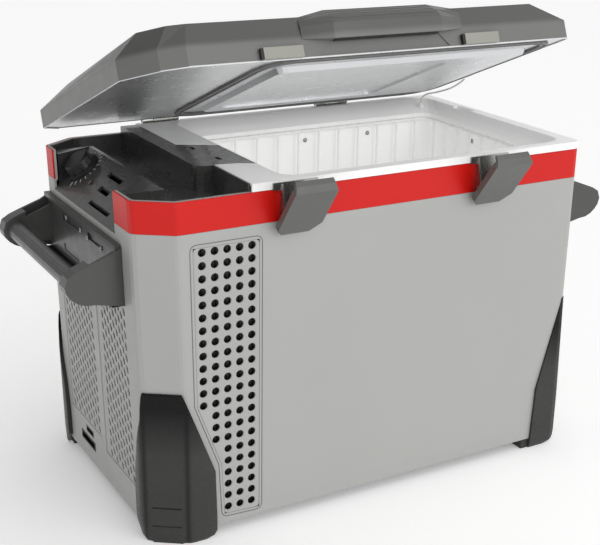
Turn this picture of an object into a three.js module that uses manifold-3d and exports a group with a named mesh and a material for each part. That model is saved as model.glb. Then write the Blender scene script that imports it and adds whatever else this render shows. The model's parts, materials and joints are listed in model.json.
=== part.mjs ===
// A portable compressor fridge: an insulated box with a compressor bay at its left end, a hinged lid that
// stands part open, two draw latches, two carrying handles and four wrap-around feet. Millimetres, +Z up,
// the front at -Y and the compressor bay at -X. Heights are above the floor that the feet stand on.
import * as THREE from "three";
import { mergeVertices } from "three/addons/utils/BufferGeometryUtils.js";
import Module from "manifold-3d";

const wasm = await Module();
wasm.setup();

const GAP = 0.3; // clearance between pieces that touch

// The case
const LEFT_END = 316; // at the rim; this end leans in towards the floor
const RIGHT_END = 318.5; // upright
const HALF_DEPTH = 177;
const RIM_TOP = 447;
const CASE_TOP = 437;
const CASE_BOTTOM = 14;
const BAND_BOTTOM = 398;
const END_TAPER = 12 / (RIM_TOP - CASE_BOTTOM);
const CHAMFER_X = 44; // the compressor end has two cut corners
const CHAMFER_Y = 30;
const CORNER_RADIUS = 10; // the other end has small rounded ones
const CREASE_RADIUS = 12; // where a cut corner meets the walls
const WALL = 3;
const BAND_THICKNESS = 2;
const UPPER_WALL_INSET = BAND_THICKNESS + GAP;

// The cold compartment
const TUB = { left: -112, right: 289, half: 132, floor: 62, corner: 20, top: 430 };
const LINER_WALL = 2.3;
const MOUTH = { left: -127.5, right: 300.5, half: 163.5, corner: 24 }; // the funnel's wide end, at the rim
const BULKHEAD_X = -158; // the insulation's face towards the compressor bay

// The compressor bay's top
const TRAY_FLOOR = 414;
const BLOCK_LEFT = -200;
const HOUSING = { left: -312, right: -251, front: -97.5, back: 144, bottom: 387, top: 430 };

// Latches and lid
const LATCH_CENTRE_X = 22;
const LATCH_OFFSET = 142;
const LATCH_PIVOT = { y: -184.5, z: 405.9 };
const LATCH_TILT = 36.5; // the open paddle's lean away from the case, in degrees
const HINGE_OFFSET = 139;
const LID_PIVOT = { y: 177, z: 450 };
const LID_OPEN = 22; // degrees
const SKIRT_HEIGHT = 24;
const LID_HEIGHT = 49;
const LID_FRONT = 347; // from the hinge axis

// Handles
const BAR = { x: 366.5, z: 333.5, radius: 12 };
const HANDLE_LENGTH = 262;
const HANDLES = {
  left: { side: -1, front: -117, out: 0, up: 0 },
  right: { side: 1, front: -141, out: 13, up: 15 }, // set a little higher and further out
};
const CHEEK_WALL = 4;
const NOSE_WIDTH = 20;

// Vents
const FRONT_VENT = { pitch: 16.07, radius: 4.7, left: -240.3, top: 373.7, rows: [13, 16, 22, 22, 22] };
const FRONT_VENT_OUTLINE = [[-251.8, 380], [-248.8, 181], [-217.6, 97], [-213.5, 27], [-165, 24.5],
  [-166, 380]];
const SIDE_VENTS = [{ y: [-116, -12.5], bottom: 58 }, { y: [3, 117], bottom: 73 }];
const SIDE_VENT = { top: 302, columnPitch: 9.6, pitchZ: 15, halfY: 3, halfZ: 4.6 };

// ---------------------------------------------------------------- solids

function solid(geometry) {
  const bare = new THREE.BufferGeometry();
  const source = geometry.index ? geometry.toNonIndexed() : geometry;
  bare.setAttribute("position", source.getAttribute("position"));
  const merged = mergeVertices(bare, 1e-3);
  return new wasm.Manifold(new wasm.Mesh({
    numProp: 3,
    vertProperties: new Float32Array(merged.attributes.position.array),
    triVerts: new Uint32Array(merged.index.array),
  }));
}

function geometryOf(manifold) {
  const mesh = manifold.getMesh();
  const geometry = new THREE.BufferGeometry();
  geometry.setAttribute("position", new THREE.BufferAttribute(mesh.vertProperties, 3));
  geometry.setIndex(new THREE.BufferAttribute(mesh.triVerts, 1));
  return geometry;
}

const join = (first, ...rest) => rest.reduce((sum, piece) => sum.add(piece), first);
const cut = (first, ...rest) => rest.reduce((left, piece) => left.subtract(piece), first);

function box(x, y, z) {
  const geometry = new THREE.BoxGeometry(x[1] - x[0], y[1] - y[0], z[1] - z[0]);
  return solid(geometry.translate((x[0] + x[1]) / 2, (y[0] + y[1]) / 2, (z[0] + z[1]) / 2));
}

function rod(from, to, radius, sides = 12) {
  const start = new THREE.Vector3(...from);
  const line = new THREE.Vector3(...to).sub(start);
  const turn = new THREE.Quaternion().setFromUnitVectors(
    new THREE.Vector3(0, 1, 0), line.clone().normalize());
  const geometry = new THREE.CylinderGeometry(radius, radius, line.length(), sides);
  geometry.applyQuaternion(turn).translate(...start.addScaledVector(line, 0.5).toArray());
  return solid(geometry);
}

function extruded(points, depth) {
  const shape = new THREE.Shape(points.map(([a, b]) => new THREE.Vector2(a, b)));
  return new THREE.ExtrudeGeometry(shape, { depth, bevelEnabled: false });
}

// A flat outline pushed along one axis, between two places on that axis.
const alongZ = (points, z) => solid(extruded(points, z[1] - z[0]).translate(0, 0, z[0]));
const alongY = (points, y) => solid(extruded(points, y[1] - y[0]).rotateX(Math.PI / 2).translate(0, y[1], 0));

function alongX(points, x) {
  const turn = new THREE.Matrix4().makeBasis(
    new THREE.Vector3(0, 1, 0), new THREE.Vector3(0, 0, 1), new THREE.Vector3(1, 0, 0));
  return solid(extruded(points, x[1] - x[0]).applyMatrix4(turn).translate(x[0], 0, 0));
}

// A convex solid skinned over rings of equal point count, the first ring facing backwards.
function loft(rings) {
  const count = rings[0].length;
  const index = [];
  for (let r = 0; r + 1 < rings.length; r++) {
    for (let i = 0; i < count; i++) {
      const a = r * count + i;
      const b = r * count + (i + 1) % count;
      index.push(a, b, b + count, a, b + count, a + count);
    }
  }
  const last = (rings.length - 1) * count;
  for (let i = 1; i + 1 < count; i++) {
    index.push(0, i + 1, i, last, last + i, last + i + 1);
  }
  const geometry = new THREE.BufferGeometry();
  geometry.setAttribute("position", new THREE.Float32BufferAttribute(rings.flat(2), 3));
  geometry.setIndex(index);
  return solid(geometry);
}

function roundedRectangle(x, y, radius, segments = 3) {
  const points = [];
  const corners = [[x[1], y[0], -90], [x[1], y[1], 0], [x[0], y[1], 90], [x[0], y[0], 180]];
  for (const [cornerX, cornerY, start] of corners) {
    const centreX = cornerX - Math.sign(cornerX - x[0] - 1e-6) * radius;
    const centreY = cornerY - Math.sign(cornerY - y[0] - 1e-6) * radius;
    for (let i = 0; i <= segments; i++) {
      const angle = THREE.MathUtils.degToRad(start + (90 * i) / segments);
      points.push([centreX + radius * Math.cos(angle), centreY + radius * Math.sin(angle)]);
    }
  }
  return points;
}

// ---------------------------------------------------------------- the case's outline

const endAt = (z) => LEFT_END - END_TAPER * (RIM_TOP - z);

// The case's outline at one height, moved in by an inset.
function outline(z, inset) {
  const end = endAt(z);
  const half = HALF_DEPTH - inset;
  const sideShift = inset * Math.tan((Math.PI / 2 - Math.atan2(CHAMFER_Y, CHAMFER_X)) / 2);
  const frontShift = inset * Math.tan(Math.atan2(CHAMFER_Y, CHAMFER_X) / 2);
  const chamferX = end - CHAMFER_X - frontShift;
  const chamferY = HALF_DEPTH - CHAMFER_Y - sideShift;
  const radius = Math.max(CORNER_RADIUS - inset, 1);
  const left = -(end - inset);
  const right = RIGHT_END - inset;
  const corner = (sign) => [0, 30, 60, 90].map((step) => {
    const angle = THREE.MathUtils.degToRad(sign < 0 ? step - 90 : step);
    return [right - radius + radius * Math.cos(angle), sign * (half - radius) + radius * Math.sin(angle)];
  });
  const sharp = [[-chamferX, half], [left, chamferY], [left, -chamferY], [-chamferX, -half]];
  const crease = Math.max(CREASE_RADIUS - inset, 2);
  const creases = sharp.map((point, i) =>
    softened(sharp[i - 1] ?? [0, half], point, sharp[i + 1] ?? [0, -half], crease));
  const points = [...corner(-1), ...corner(1), ...creases.flat()];
  return points.map(([x, y]) => [x, y, z]);
}

// A corner of an outline, rounded off with three points.
function softened(before, corner, after, radius) {
  const middle = new THREE.Vector2(...corner);
  const back = new THREE.Vector2(...before).sub(middle).normalize();
  const on = new THREE.Vector2(...after).sub(middle).normalize();
  const half = Math.acos(back.dot(on)) / 2;
  const reach = radius / Math.tan(half);
  const inwards = back.clone().add(on).normalize().multiplyScalar(radius / Math.sin(half) - radius);
  return [back.multiplyScalar(reach), inwards, on.multiplyScalar(reach)].map((v) => v.add(middle).toArray());
}

const bodyBlock = (inset, z) => loft(z.map((height) => outline(height, inset)));

// The plan of the white rim: everything but the compressor bay's tray and its raised block.
const RIM_PLAN = [[-176, -200], [340, -200], [340, 200], [-176, 200], [-176, 40], [-127.5, 14],
  [-127.5, -95], [-146, -84], [-176, -78]];

// ---------------------------------------------------------------- the case and its vents

const controlOpening = (margin, bottom) =>
  box([-340, -290], [-98 - margin, 118 + margin], [bottom, 460]);

function outerCase() {
  const outside = loft([outline(CASE_BOTTOM + GAP, 0), outline(BAND_BOTTOM, 0),
    outline(BAND_BOTTOM, UPPER_WALL_INSET), outline(CASE_TOP, UPPER_WALL_INSET)]);
  const inside = loft([outline(CASE_BOTTOM - 5, WALL), outline(BAND_BOTTOM - WALL, WALL),
    outline(BAND_BOTTOM, UPPER_WALL_INSET + WALL), outline(CASE_TOP + 5, UPPER_WALL_INSET + WALL)]);
  const ventHole = alongY(FRONT_VENT_OUTLINE, [-190, -160]);
  const sideHoles = SIDE_VENTS.map(({ y, bottom }) => box([-330, -290], y, [bottom, SIDE_VENT.top]));
  const inletHoles = [DC_INLET, AC_INLET].map(({ y, z }) => box([-330, -290], y, z));
  return cut(outside, inside, ventHole, ...sideHoles, ...inletHoles, controlOpening(0, 384.5));
}

function redTrimBand() {
  const heights = [BAND_BOTTOM + GAP, CASE_TOP - GAP];
  return cut(bodyBlock(0, heights), bodyBlock(BAND_THICKNESS, [BAND_BOTTOM - 5, CASE_TOP + 5]),
    controlOpening(0, 384));
}

const basePan = () => bodyBlock(WALL + GAP, [CASE_BOTTOM + GAP, CASE_BOTTOM + 4]);

function polygonHole(x, z, radius, sides, depth) {
  const points = [];
  for (let i = 0; i < sides; i++) {
    const angle = (2 * Math.PI * (i + 0.5)) / sides;
    points.push([x + radius * Math.cos(angle), z + radius * Math.sin(angle)]);
  }
  return alongY(points, depth);
}

function frontVentGrille() {
  const plate = alongY([[-251.4, 379.6], [-248.4, 181.1], [-217.2, 97.1], [-213.2, 27.5], [-165.4, 25],
    [-166.4, 379.6]], [-176.2, -174]);
  const holes = [];
  FRONT_VENT.rows.forEach((rows, column) => {
    for (let row = 0; row < rows; row++) {
      const x = FRONT_VENT.left + column * FRONT_VENT.pitch;
      const z = FRONT_VENT.top - row * FRONT_VENT.pitch;
      holes.push(polygonHole(x, z, FRONT_VENT.radius, 6, [-180, -170]));
    }
  });
  return cut(plate, wasm.Manifold.union(holes));
}

function sideVentGrille({ y, bottom }) {
  const wall = cut(bodyBlock(0.5, [40, 320]), bodyBlock(WALL, [30, 330]));
  const region = box([-330, -295], [y[0] + GAP, y[1] - GAP], [bottom + GAP, SIDE_VENT.top - GAP]);
  const holes = [];
  const columns = Math.floor((y[1] - y[0] - 8) / SIDE_VENT.columnPitch);
  for (let column = 0; column < columns; column++) {
    const middle = y[0] + 8 + column * SIDE_VENT.columnPitch;
    const start = bottom + 8 + (column % 2) * (SIDE_VENT.pitchZ / 2);
    for (let z = start; z < SIDE_VENT.top - 7; z += SIDE_VENT.pitchZ) {
      holes.push(alongX([[middle - SIDE_VENT.halfY, z], [middle, z - SIDE_VENT.halfZ],
        [middle + SIDE_VENT.halfY, z], [middle, z + SIDE_VENT.halfZ]], [-330, -295]));
    }
  }
  return cut(wall.intersect(region), wasm.Manifold.union(holes));
}

// ---------------------------------------------------------------- the cold compartment

const tubRing = (grow) => roundedRectangle(
  [TUB.left - grow, TUB.right + grow], [-TUB.half - grow, TUB.half + grow], TUB.corner + grow);
const mouthRing = (grow) => roundedRectangle(
  [MOUTH.left - grow, MOUTH.right + grow], [-MOUTH.half - grow, MOUTH.half + grow], MOUTH.corner + grow);
const atHeight = (ring, z) => ring.map(([x, y]) => [x, y, z]);
const tubBlock = (grow, z) => alongZ(tubRing(grow), z);

// The cold compartment's whole hollow, grown by a wall: a straight tub that opens into a funnel.
function tubAndFunnel(grow) {
  const funnel = loft([atHeight(tubRing(grow), TUB.top - grow), atHeight(mouthRing(grow), RIM_TOP - grow),
    atHeight(mouthRing(grow), RIM_TOP + 5)]);
  return join(funnel, tubBlock(grow, [TUB.floor - grow, TUB.top]));
}

// The plan of the tray's ledge, where the rim is cut away for it.
const LEDGE_PLAN = [[-180, 40], [-176, 40], [-127.5, 14], [-127.5, -95], [-146, -84], [-176, -78],
  [-180, -78]];

function innerLiner() {
  const lip = cut(bodyBlock(0, [CASE_TOP + GAP, RIM_TOP]), bodyBlock(WALL, [CASE_TOP - 5, RIM_TOP - 3]));
  const rim = lip.intersect(alongZ(RIM_PLAN, [430, 450]));
  const shell = tubAndFunnel(LINER_WALL).intersect(box([-400, 400], [-200, 200], [0, RIM_TOP]));
  const underLedge = cut(shell, alongZ(LEDGE_PLAN, [CASE_TOP, RIM_TOP + 9]));
  const clipPocket = box([299, 310], [44, 84], [RIM_TOP - 5, RIM_TOP + 9]);
  const pocketFloor = box([297, 312], [42, 86], [RIM_TOP - 7, RIM_TOP]);
  return cut(join(rim, pocketFloor, underLedge), tubAndFunnel(0), clipPocket, ...hingeRecesses());
}

function hingeRecesses() {
  return [-1, 1].map((side) => {
    const x = side * HINGE_OFFSET;
    return box([x - 30, x + 30], [171.5, 190], [444, 460]);
  });
}

const foamCavity = () => join(tubAndFunnel(LINER_WALL + GAP),
  tubBlock(LINER_WALL + 2, [TUB.floor - LINER_WALL - GAP, TUB.top]));

function foamInsulation() {
  const filled = bodyBlock(UPPER_WALL_INSET + WALL + GAP, [CASE_BOTTOM + 4 + GAP, CASE_TOP - 1]);
  const underLedge = alongZ(LEDGE_PLAN, [TRAY_FLOOR - 4, 460]);
  return cut(filled.intersect(box([BULKHEAD_X, 340], [-200, 200], [0, 460])), foamCavity(), underLedge);
}

function evaporatorSheet() {
  return cut(tubBlock(LINER_WALL + 1.6, [110, 380]), tubBlock(LINER_WALL + 0.4, [100, 390]));
}

// The lift-out basket: open at the top, standing clear of the liner.
function wireBasket() {
  const gapToLiner = 6;
  const wire = 4;
  const plan = (inset) => roundedRectangle([TUB.left + inset, TUB.right - inset],
    [-TUB.half + inset, TUB.half - inset], TUB.corner - inset);
  const outside = alongZ(plan(gapToLiner), [TUB.floor + 4, 428]);
  return cut(outside, alongZ(plan(gapToLiner + wire), [TUB.floor + 4 + wire, 440]));
}

// ---------------------------------------------------------------- the top of the compressor bay

function trayCover() {
  const inset = UPPER_WALL_INSET + WALL + GAP;
  const left = box([-340, -176 - GAP], [-200, 200], [400, 460]);
  const floor = bodyBlock(inset, [TRAY_FLOOR - 3, TRAY_FLOOR]).intersect(left);
  const wall = cut(bodyBlock(inset, [TRAY_FLOOR - 3, CASE_TOP - GAP]), bodyBlock(inset + 2.5, [400, 460]));
  const frontRib = box([-178.5, -176 - GAP], [-171.5, -78], [TRAY_FLOOR - 3, RIM_TOP - 0.4]);
  const block = alongZ([[BLOCK_LEFT, 171.4], [BLOCK_LEFT, -66], [-197.5, -73], [-190, -77], [-176.3, -78.4],
    [-176.3, 171.4]], [TRAY_FLOOR - 3, RIM_TOP - 0.4]);
  const hollow = alongZ([[BLOCK_LEFT + 3, 168], [BLOCK_LEFT + 3, -66], [-192, -73], [-179.3, -73],
    [-179.3, 168]], [400, RIM_TOP - 4]);
  const ledge = alongZ([[-180, 41.6], [-180, -77.4], [-176.3, -77.4], [-146.1, -83.4], [-127.8, -94.3],
    [-127.8, 13.5], [-176.3, 39.5]], [CASE_TOP + GAP, RIM_TOP - 0.4]);
  const finger = [[-165, 12], [-158, -50]].map(([x, y]) => box([x - 3, x + 3], [y - 7, y + 7], [444, 450]));
  const housingHole = box([-340, HOUSING.right + GAP], [HOUSING.front - GAP, HOUSING.back + GAP], [400, 460]);
  const tray = cut(join(floor, wall.intersect(left), frontRib, block, ledge), hollow, housingHole, ...finger);
  return tray;
}

// The wedge that carries the controls: a sloping panel let into the end wall.
function controlHousing() {
  const { left, right, front, back, bottom, top } = HOUSING;
  const inWall = box([-314.2, -300], [front, 117.5], [bottom - 2, top]);
  const inside = box([-306.5, right], [front, back], [bottom - 2, top]);
  const aboveSlope = alongY([[-330, 371], [left, bottom], [-256, top], [-256, 470], [-330, 470]],
    [-200, 200]);
  const recessPlan = alongZ([[-330, -98], [left, -98], [-256, -40], [-256, 143], [left, 118.5],
    [-330, 118.5]], [380, 470]);
  const hollow = alongY([[-304, 380], [-304, 388], [-259, 423], [-254, 423], [-254, 380]],
    [front + 60, back - 4]);
  const slots = [[-269.5, -10, 35, 7], [-287, -9, 23, 7], [-304, -52, 14, 5]].map(([x, y0, y1, width]) =>
    box([x - width / 2, x + width / 2], [y0, y1], [380, 440]));
  const shaftHole = rod(onPanel(30), onPanel(-30), 4);
  return cut(join(inWall, inside), aboveSlope.intersect(recessPlan), hollow, ...slots, shaftHole);
}

// The sloping panel's own direction, and the knob's place on it.
const PANEL_NORMAL = new THREE.Vector3(-43, 0, 56).normalize();
const KNOB_CENTRE = new THREE.Vector3(-279.3, 104, 412.1);
const onPanel = (height) => KNOB_CENTRE.clone().addScaledVector(PANEL_NORMAL, height).toArray();

function temperatureKnob() {
  const profile = [[0, 0], [24, 0], [24, 3], [20, 5], [18.5, 15], [16.5, 17], [0, 17]];
  const body = solid(new THREE.LatheGeometry(profile.map(([r, h]) => new THREE.Vector2(r, h)), 20));
  const grips = [];
  for (let i = 0; i < 10; i++) {
    const angle = (2 * Math.PI * i) / 10;
    const x = 21.5 * Math.cos(angle);
    const z = 21.5 * Math.sin(angle);
    grips.push(rod([x, 4, z], [x, 30, z], 3, 6));
  }
  const shaft = rod([0, 1, 0], [0, -12, 0], 3.4);
  const turn = new THREE.Quaternion().setFromUnitVectors(new THREE.Vector3(0, 1, 0), PANEL_NORMAL);
  const geometry = geometryOf(join(cut(body, ...grips), shaft));
  return solid(geometry.applyQuaternion(turn).translate(...onPanel(0.5)));
}

function indicatorLens() {
  const spot = new THREE.Vector3(-288, 52, 0);
  spot.z = HOUSING.bottom + ((spot.x - HOUSING.left) * 43) / 56;
  const foot = spot.clone().addScaledVector(PANEL_NORMAL, GAP);
  return rod(foot.toArray(), foot.clone().addScaledVector(PANEL_NORMAL, 2).toArray(), 3, 12);
}

function controlBoard() {
  const board = box([-300, -200], [-70, 60], [376, 378]);
  const heatsink = box([-240, -214], [-50, 0], [377, 400]);
  const relay = box([-285, -260], [10, 40], [366, 377]);
  return join(board, heatsink, relay);
}

// ---------------------------------------------------------------- the power inlets

const DC_INLET = { y: [36, 64], z: [55, 65] };
const AC_INLET = { y: [32, 84], z: [37, 50] };

function inlet({ y, z }) {
  const body = box([-305.5, -286], [y[0] + GAP, y[1] - GAP], [z[0] + GAP, z[1] - GAP]);
  return cut(body, box([-320, -291], [y[0] + 2.3, y[1] - 2.3], [z[0] + 2.3, z[1] - 2.3]));
}

// ---------------------------------------------------------------- inside the compressor bay

const COMPRESSOR = { x: -222, z: 104, radius: 52, half: 78 };
const FAN = { x: -208, y: -152, z: 310, radius: 38 };

function compressor() {
  const { x, z, radius, half } = COMPRESSOR;
  const profile = [[0, -half - 18], [radius * 0.7, -half - 12], [radius, -half + 8], [radius, half - 8],
    [radius * 0.7, half + 12], [0, half + 18]];
  const shell = solid(new THREE.LatheGeometry(profile.map(([r, h]) => new THREE.Vector2(r, h)), 16)
    .translate(x, 0, z));
  const weld = rod([x, -4, z], [x, 4, z], radius + 4, 16);
  const feet = [-60, 60].map((y) => box([x - 58, x + 58], [y - 9, y + 9], [46, 52]));
  const webs = [-60, 60].map((y) => box([x - 24, x + 24], [y - 2, y + 2], [48, 70]));
  const stub = rod([x, 30, z + 40], [x, 30, z + 66], 5, 8);
  return join(shell, weld, ...feet, ...webs, stub);
}

function compressorMount(xSide, ySide) {
  const x = COMPRESSOR.x + xSide * 48;
  return rod([x, ySide * 60, 18 + 2 * GAP], [x, ySide * 60, 46 - GAP], 9, 10);
}

function condenserCoil() {
  const spine = box([-292, -288], [-104, 112], [175, 340]);
  const fins = [];
  for (let i = 0; i < 13; i++) {
    fins.push(box([-289, -262], [-104 + i * 18 - 1, -104 + i * 18 + 1], [175, 340]));
  }
  const tubes = [195, 257, 320].map((z) => rod([-276, -108, z], [-276, 116, z], 4, 6));
  return join(spine, ...fins, ...tubes);
}

function fanShroud() {
  const { x, y, z, radius } = FAN;
  const frame = box([x - 44, x + 44], [y - 10, y + 10], [z - 44, z + 44]);
  const opening = rod([x, y - 20, z], [x, y + 20, z], radius + 3, 20);
  const arm = [0, 60, 120].map((angle) => {
    const turn = THREE.MathUtils.degToRad(angle);
    const reach = (side) => [x + side * 43 * Math.cos(turn), y + 8, z + side * 43 * Math.sin(turn)];
    return rod(reach(-1), reach(1), 2, 4);
  });
  const hub = rod([x, y + 6, z], [x, y + 10, z], 15, 12);
  return join(cut(frame, opening), ...arm, hub);
}

const fanMotor = () => rod([FAN.x, FAN.y + 1, FAN.z], [FAN.x, FAN.y + 6 - GAP, FAN.z], 12, 12);

function fanBlade() {
  const { x, y, z, radius } = FAN;
  const hub = rod([x, y - 8, z], [x, y + 1 - GAP, z], 12, 12);
  const blades = [];
  for (let i = 0; i < 5; i++) {
    const blade = new THREE.BoxGeometry(radius - 9, 1.6, 17).rotateX(0.5).translate((radius + 9) / 2, 0, 0);
    blade.rotateY((2 * Math.PI * i) / 5).translate(x, y - 4, z);
    blades.push(solid(blade));
  }
  return join(hub, ...blades);
}

const filterDrier = () => rod([-178, 120, 190], [-178, 120, 300], 9, 10);

function pipe(points, radius) {
  const curve = new THREE.CatmullRomCurve3(points.map((p) => new THREE.Vector3(...p)), false, "centripetal");
  const section = new THREE.Shape();
  section.absarc(0, 0, radius, 0, 2 * Math.PI);
  return solid(new THREE.ExtrudeGeometry(section, {
    steps: Math.round(curve.getLength() / (radius * 5)),
    curveSegments: 3,
    bevelEnabled: false,
    extrudePath: curve,
  }));
}

const dischargePipe = () => pipe([[-222, 30, 171], [-222, 36, 186], [-236, 60, 215], [-250, 90, 235],
  [-257, 112, 250]], 3);
const suctionPipe = () => pipe([[-178, 120, 189.4], [-178, 118, 180], [-182, 104, 166], [-190, 96, 157],
  [-196, 93, 146]], 3);

// ---------------------------------------------------------------- handles

// A handle's side, as distance out from the case's middle and height.
const CHEEK = [[300, 299], [311, 300.5], [349, 308.5], [361, 309.5], [370, 313.5], [377, 319], [382, 326],
  [384, 334], [380, 345], [370, 351], [357, 356], [327, 366.5], [314, 374], [300, 377]];
const NOSE = [[353, 309], ...CHEEK.slice(3, 11), [353, 357.4]];
const INNER_CHEEK = [[300, 311], [340, 316], [355, 322], [355, 349], [327, 360], [300, 371]];

function handle({ side, front, out, up }) {
  const back = front + HANDLE_LENGTH;
  const outwards = (points) => {
    const placed = points.map(([x, z]) => [side * (x + out), z + up]);
    return side > 0 ? placed : placed.reverse();
  };
  const beam = (x, y, z) => box(side > 0 ? x : [-x[1], -x[0]], y, [z[0] + up, z[1] + up]);
  const atBothEnds = (points, from, to) => [
    alongY(outwards(points), [front + from, front + to]),
    alongY(outwards(points), [back - to, back - from]),
  ];
  const sides = [...atBothEnds(CHEEK, 0, CHEEK_WALL), ...atBothEnds(NOSE, 0, NOSE_WIDTH),
    ...atBothEnds(INNER_CHEEK, NOSE_WIDTH - 3, NOSE_WIDTH)];
  const region = beam([290, 345], [front + 2, back - 2], [302, 376]);
  const backPlate = bodyBlock(-4.5, [295, 400]).intersect(region);
  const flange = bodyBlock(-8, [371 + up, 376 + up]).intersect(region);
  const slots = [[134, 195], [60, 103]].map(([from, to]) =>
    beam([316, 345], [front + from, front + to], [355, 364]));
  const lowSlot = beam([316, 345], [front + 143, front + 199], [313, 322]);
  return cut(join(backPlate, flange, ...sides), bodyBlock(-GAP, [280, 410]), ...slots, lowSlot);
}

// The grip's bar, with two low ridges along its top.
function handleBar({ side, front, out, up }) {
  const from = front + NOSE_WIDTH + GAP;
  const to = front + HANDLE_LENGTH - NOSE_WIDTH - GAP;
  const place = (radius, degrees) => {
    const angle = THREE.MathUtils.degToRad(degrees);
    return [side * (BAR.x + out + radius * Math.cos(angle)), BAR.z + up + radius * Math.sin(angle)];
  };
  const along = ([x, z], start, end, radius, sides) => rod([x, start, z], [x, end, z], radius, sides);
  const ridges = [60, 100].map((degrees) => along(place(BAR.radius - 0.8, degrees), from + 6, to - 6, 1.4, 6));
  return join(along(place(0, 0), from, to, BAR.radius, 16), ...ridges);
}

// ---------------------------------------------------------------- feet

// How far each foot stands off the case at each height.
const LEFT_SLEEVE = [[0, 3], [6, 5], [30, 6], [150, 5], [196, 3], [201, 2]];
const RIGHT_SLEEVE = [[0, 1], [6, 3], [18, 4], [75, 4], [224, 1]];

// A foot's outline as seen from the front (x, z) and from its own end (distance from the middle, z).
const LEFT_FOOT = {
  front: [[-345, 0], [-240, 0], [-230, 4], [-226, 11], [-228, 93], [-268.5, 201], [-345, 201]],
  side: [[200, 201], [149, 201], [147, 166], [140, 136], [131, 99], [127, 61], [127, 22], [148, 0], [200, 0]],
  sleeve: LEFT_SLEEVE,
};
const RIGHT_FOOT = {
  front: [[272, 0], [297, 0], [312, 5], [319, 18], [345, 60], [345, 224], [311, 224], [276, 92], [272.5, 16]],
  side: [[200, 224], [164, 224], [128, 110], [128, 8], [136, 0], [200, 0]],
  sleeve: RIGHT_SLEEVE,
};

function foot(shape, xSide, ySide) {
  const sleeve = loft(shape.sleeve.map(([z, standOff]) => outline(z, -standOff)));
  const seenFromEnd = shape.side.map(([y, z]) => [ySide * y, z]);
  const end = alongX(ySide > 0 ? seenFromEnd : seenFromEnd.reverse(), [-345, 345]);
  const wrap = sleeve.intersect(alongY(shape.front, [-200, 200])).intersect(end);
  const underneath = box(xSide < 0 ? [-300, -238] : [260, 300], ySide < 0 ? [-176, -136] : [136, 176], [0, 13]);
  const pad = xSide < 0 ? [] : [box([300, 326], ySide < 0 ? [-168, -148] : [148, 168], [18, 68])];
  return cut(join(wrap, underneath, ...pad), bodyBlock(-GAP, [CASE_BOTTOM, 260]));
}

// ---------------------------------------------------------------- latches

// Side views are (y, z) about the pivot, with the paddle upright.
function latchPaddle(x) {
  const plate = alongX([[-6, -18], [-14, -18], [-14, 57], [-6.5, 61.5], [0, 63], [0, 60.8], [-6, 58.6]],
    [-28.5, 28.5]);
  const lowCorners = [[-1, 7], [1, 14]].map(([side, size]) => alongY([[side * (28.5 - size), -19],
    [side * 40, -19], [side * 40, size - 18], [side * 28.5, size - 18]], [-20, 5]));
  const highCorners = [-1, 1].map((side) => alongY([[side * 28.5, 55], [side * 40, 55], [side * 40, 70],
    [side * 24.5, 70], [side * 24.5, 64]], [-20, 5]));
  const ears = [-14, 14].map((middle) => {
    const web = box([middle - 2.5, middle + 2.5], [-7, 0], [-4.5, 4.5]);
    return join(web, rod([middle - 2.5, 0, 0], [middle + 2.5, 0, 0], 4.5, 12));
  });
  const bore = rod([-30, 0, 0], [30, 0, 0], 2.5, 12);
  const upright = cut(join(cut(plate, ...lowCorners, ...highCorners), ...ears), bore);
  const geometry = geometryOf(upright).rotateX(THREE.MathUtils.degToRad(LATCH_TILT));
  return solid(geometry.translate(x, LATCH_PIVOT.y, LATCH_PIVOT.z));
}

const latchPin = (x) => rod([x - 21, LATCH_PIVOT.y, LATCH_PIVOT.z], [x + 21, LATCH_PIVOT.y, LATCH_PIVOT.z],
  2.2, 10);

function latchBracket(x) {
  const { y, z } = LATCH_PIVOT;
  const front = -HALF_DEPTH - GAP;
  const strap = box([x - 30, x + 30], [front - 2, front], [436, 445]);
  const backPlate = box([x - 19.5, x + 19.5], [front - 1.6, front], [398, 437]);
  const cheeks = [-18.2, 18.2].map((middle) => {
    const span = [x + middle - 1.3, x + middle + 1.3];
    const web = alongX([[front, 399], [front, 443], [front - 2.5, 443], [y - 4.2, z + 2], [y - 3, z - 3]],
      span);
    return join(web, rod([span[0], y, z], [span[1], y, z], 4.3, 12));
  });
  const bore = rod([x - 30, y, z], [x + 30, y, z], 2.5, 12);
  return cut(join(strap, backPlate, ...cheeks), bore);
}

// ---------------------------------------------------------------- hinges and stay

const KNUCKLE = 4.5;

function hingeBodyLeaf(x) {
  const { y, z } = LID_PIVOT;
  const plate = box([x - 27, x + 27], [y + GAP, y + 2.3], [408, 445]);
  const knuckles = [[x - 27, x - 12], [x + 12, x + 27]].map((span) =>
    join(rod([span[0], y, z], [span[1], y, z], KNUCKLE, 12), box(span, [y + GAP, y + 2.3], [440, z])));
  return cut(join(plate, ...knuckles), rod([x - 40, y, z], [x + 40, y, z], 2.3, 12));
}

const hingePin = (x) => rod([x - 26.5, LID_PIVOT.y, LID_PIVOT.z], [x + 26.5, LID_PIVOT.y, LID_PIVOT.z],
  2, 10);

// In the lid's own frame: about the hinge axis, +Y to the back, closed.
function hingeLidLeaf(x) {
  const plate = box([x - 25, x + 25], [-2.7, -1], [6, 22]);
  const knuckle = rod([x - 11.5, 0, 0], [x + 11.5, 0, 0], KNUCKLE, 12);
  const neck = box([x - 11.5, x + 11.5], [-2.7, -1], [2, 10]);
  return cut(join(plate, knuckle, neck), rod([x - 40, 0, 0], [x + 40, 0, 0], 2.3, 12));
}

const STAY_ANCHOR = [281, 142]; // on the funnel's slope, at the back right

function stayAnchor() {
  const post = rod([...STAY_ANCHOR, TUB.top - 2], [...STAY_ANCHOR, 441], 4, 10);
  const peg = rod([...STAY_ANCHOR, 440], [...STAY_ANCHOR, 443], 2.4, 10);
  return join(post, peg).intersect(tubAndFunnel(-GAP));
}

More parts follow.
